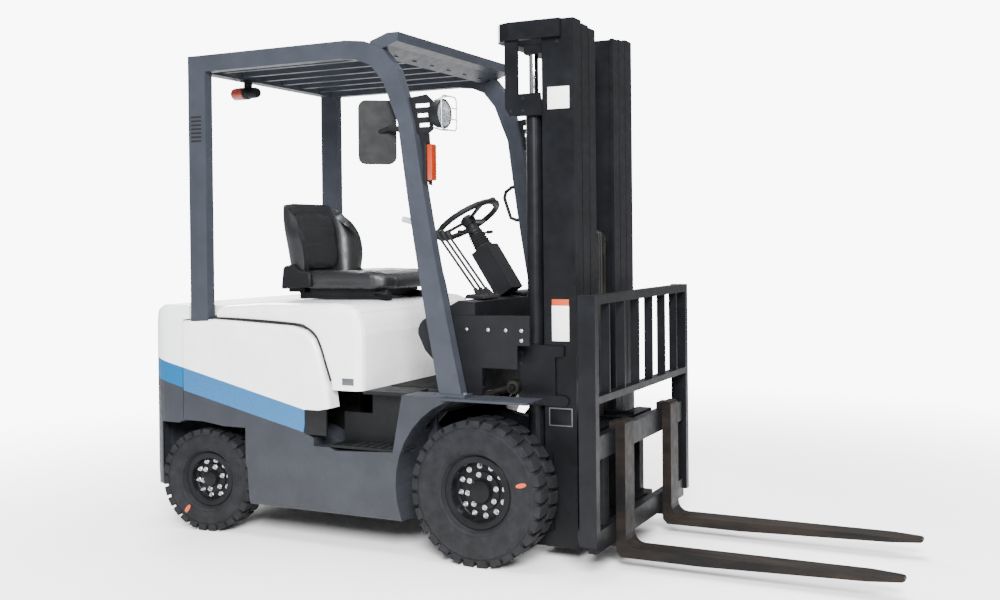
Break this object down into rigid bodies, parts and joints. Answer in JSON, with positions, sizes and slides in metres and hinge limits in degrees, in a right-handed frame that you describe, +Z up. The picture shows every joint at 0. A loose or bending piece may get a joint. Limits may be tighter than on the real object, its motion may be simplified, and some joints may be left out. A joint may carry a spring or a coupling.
{
  "type": "counterbalance forklift truck",
  "caption": "Small four-wheel counterbalance forklift with driver's guard, three-stage mast, side shifter, load backrest and two forks, mast lowered.",
  "frame": {"origin": "middle of the overall length and width, on the ground", "axes": "+X forward along the forks, +Y to the truck's left, +Z up"},
  "size_m": [3.36, 1.11, 2.177],
  "materials": {
    "slate_paint": "semi-gloss",
    "white_paint": "gloss",
    "black_paint": "semi-gloss",
    "black_plastic": "matt",
    "tyre_rubber": "matt",
    "cast_iron": "matt",
    "chrome_rod": "polished",
    "seat_vinyl": "satin",
    "amber_lens": "gloss",
    "roof_glazing": "gloss",
    "fork_steel": "worn"
  },
  "bodies": {
    "truck_body": {"chassis_frame": "slate_paint", "counterweight": "slate_paint", "right_side_panel": "white_paint", "left_side_panel": "white_paint", "engine": "cast_iron", "floor_and_steps": "black_plastic", "front_cowl": "black_paint", "steering_column": "black_paint", "control_levers": "black_paint", "overhead_guard": "slate_paint", "roof_panel": "roof_glazing", "mirror": "black_plastic", "right_lamps": "black_paint", "left_lamps": "black_paint", "beacon": "amber_lens", "grab_handle": "black_plastic", "front_axle": "cast_iron", "rear_axle": "cast_iron"},
    "hood_body": {"hood": "white_paint", "seat_base": "black_paint", "seat_cushion": "seat_vinyl", "seat_back": "seat_vinyl"},
    "steering_wheel": {"steering_wheel": "black_plastic"},
    "front_right_wheel": {"front_right_tyre": "tyre_rubber", "front_right_rim": "black_paint"},
    "front_left_wheel": {"front_left_tyre": "tyre_rubber", "front_left_rim": "black_paint"},
    "rear_right_knuckle": {"rear_right_knuckle": "cast_iron"},
    "rear_right_wheel": {"rear_right_tyre": "tyre_rubber", "rear_right_rim": "black_paint"},
    "rear_left_knuckle": {"rear_left_knuckle": "cast_iron"},
    "rear_left_wheel": {"rear_left_tyre": "tyre_rubber", "rear_left_rim": "black_paint"},
    "mast_outer": {"outer_mast": "black_paint", "right_lift_cylinder": "black_paint", "left_lift_cylinder": "black_paint"},
    "mast_middle": {"middle_mast": "black_paint", "right_lift_rod": "chrome_rod", "left_lift_rod": "chrome_rod"},
    "mast_inner": {"inner_mast": "black_paint", "free_lift_cylinder": "black_paint"},
    "free_lift": {"free_lift_crosshead": "chrome_rod"},
    "carriage": {"carriage": "black_paint"},
    "fork_frame": {"fork_frame": "black_paint", "load_backrest": "black_paint"},
    "right_fork": {"right_fork": "fork_steel"},
    "left_fork": {"left_fork": "fork_steel"},
    "right_tilt_barrel": {"right_tilt_cylinder": "black_paint"},
    "right_tilt_rod": {"right_tilt_rod": "chrome_rod"},
    "left_tilt_barrel": {"left_tilt_cylinder": "black_paint"},
    "left_tilt_rod": {"left_tilt_rod": "chrome_rod"}
  },
  "joints": [
    {"name": "front_right_spin", "type": "hinge", "parent": "truck_body", "child": "front_right_wheel", "pos_m": [0.08, -0.4585, 0.291], "axis": [0, 1, 0], "continuous": true},
    {"name": "front_left_spin", "type": "hinge", "parent": "truck_body", "child": "front_left_wheel", "pos_m": [0.08, 0.4585, 0.291], "axis": [0, 1, 0], "continuous": true},
    {"name": "rear_right_steer", "type": "hinge", "parent": "truck_body", "child": "rear_right_knuckle", "pos_m": [-1.32, -0.38, 0.229], "axis": [0, 0, 1], "range_deg": [-62, 47]},
    {"name": "rear_right_spin", "type": "hinge", "parent": "rear_right_knuckle", "child": "rear_right_wheel", "pos_m": [-1.31002, -0.45686, 0.229], "axis": [-0.1288, 0.9917, 0], "continuous": true},
    {"name": "rear_left_steer", "type": "hinge", "parent": "truck_body", "child": "rear_left_knuckle", "pos_m": [-1.32, 0.38, 0.229], "axis": [0, 0, 1], "range_deg": [-62, 47]},
    {"name": "rear_left_spin", "type": "hinge", "parent": "rear_left_knuckle", "child": "rear_left_wheel", "pos_m": [-1.32998, 0.45686, 0.229], "axis": [-0.1288, 0.9917, 0], "continuous": true},
    {"name": "steering_turn", "type": "hinge", "parent": "truck_body", "child": "steering_wheel", "pos_m": [-0.24, 0, 1.385], "axis": [-0.5446, 0, 0.8387], "range_deg": [-423, 558]},
    {"name": "hood_open", "type": "hinge", "parent": "truck_body", "child": "hood_body", "pos_m": [-1.258, 0, 1.01], "axis": [0, -1, 0], "range_deg": [0, 45]},
    {"name": "mast_tilt", "type": "hinge", "parent": "truck_body", "child": "mast_outer", "pos_m": [0.08, 0, 0.291], "axis": [0, 1, 0], "range_deg": [-6, 6]},
    {"name": "right_tilt_pivot", "type": "hinge", "parent": "truck_body", "child": "right_tilt_barrel", "pos_m": [-0.25, -0.352, 0.585], "axis": [0, 1, 0], "range_deg": [-3, 3]},
    {"name": "left_tilt_pivot", "type": "hinge", "parent": "truck_body", "child": "left_tilt_barrel", "pos_m": [-0.25, 0.352, 0.585], "axis": [0, 1, 0], "range_deg": [-3, 3]},
    {"name": "right_tilt_slide", "type": "slide", "parent": "right_tilt_barrel", "child": "right_tilt_rod", "axis": [0.9666, 0, 0.2562], "range_m": [-0.04, 0.04]},
    {"name": "left_tilt_slide", "type": "slide", "parent": "left_tilt_barrel", "child": "left_tilt_rod", "axis": [0.9666, 0, 0.2562], "range_m": [-0.04, 0.04]},
    {"name": "middle_lift", "type": "slide", "parent": "mast_outer", "child": "mast_middle", "axis": [0, 0, 1], "range_m": [0, 1.45]},
    {"name": "inner_lift", "type": "slide", "parent": "mast_middle", "child": "mast_inner", "axis": [0, 0, 1], "range_m": [0, 1.45]},
    {"name": "carriage_lift", "type": "slide", "parent": "mast_inner", "child": "carriage", "axis": [0, 0, 1], "range_m": [0, 1.45]},
    {"name": "free_lift", "type": "slide", "parent": "mast_inner", "child": "free_lift", "axis": [0, 0, 1], "range_m": [0, 0.73]},
    {"name": "side_shift", "type": "slide", "parent": "carriage", "child": "fork_frame", "axis": [0, 1, 0], "range_m": [-0.1, 0.1]},
    {"name": "right_fork_slide", "type": "slide", "parent": "fork_frame", "child": "right_fork", "axis": [0, 1, 0], "range_m": [-0.19, 0.16]},
    {"name": "left_fork_slide", "type": "slide", "parent": "fork_frame", "child": "left_fork", "axis": [0, 1, 0], "range_m": [-0.16, 0.19]}
  ],
  "couplings": [
    {"joint": "rear_left_steer", "follows": "rear_right_steer", "ratio": 1},
    {"joint": "steering_turn", "follows": "rear_right_steer", "ratio": -9},
    {"joint": "right_tilt_pivot", "follows": "mast_tilt", "ratio": 0.43186},
    {"joint": "right_tilt_slide", "follows": "mast_tilt", "m_per_rad": 0.36856},
    {"joint": "left_tilt_pivot", "follows": "mast_tilt", "ratio": 0.43186},
    {"joint": "left_tilt_slide", "follows": "mast_tilt", "m_per_rad": 0.36856},
    {"joint": "inner_lift", "follows": "middle_lift", "ratio": 1},
    {"joint": "free_lift", "follows": "carriage_lift", "ratio": 0.5}
  ]
}
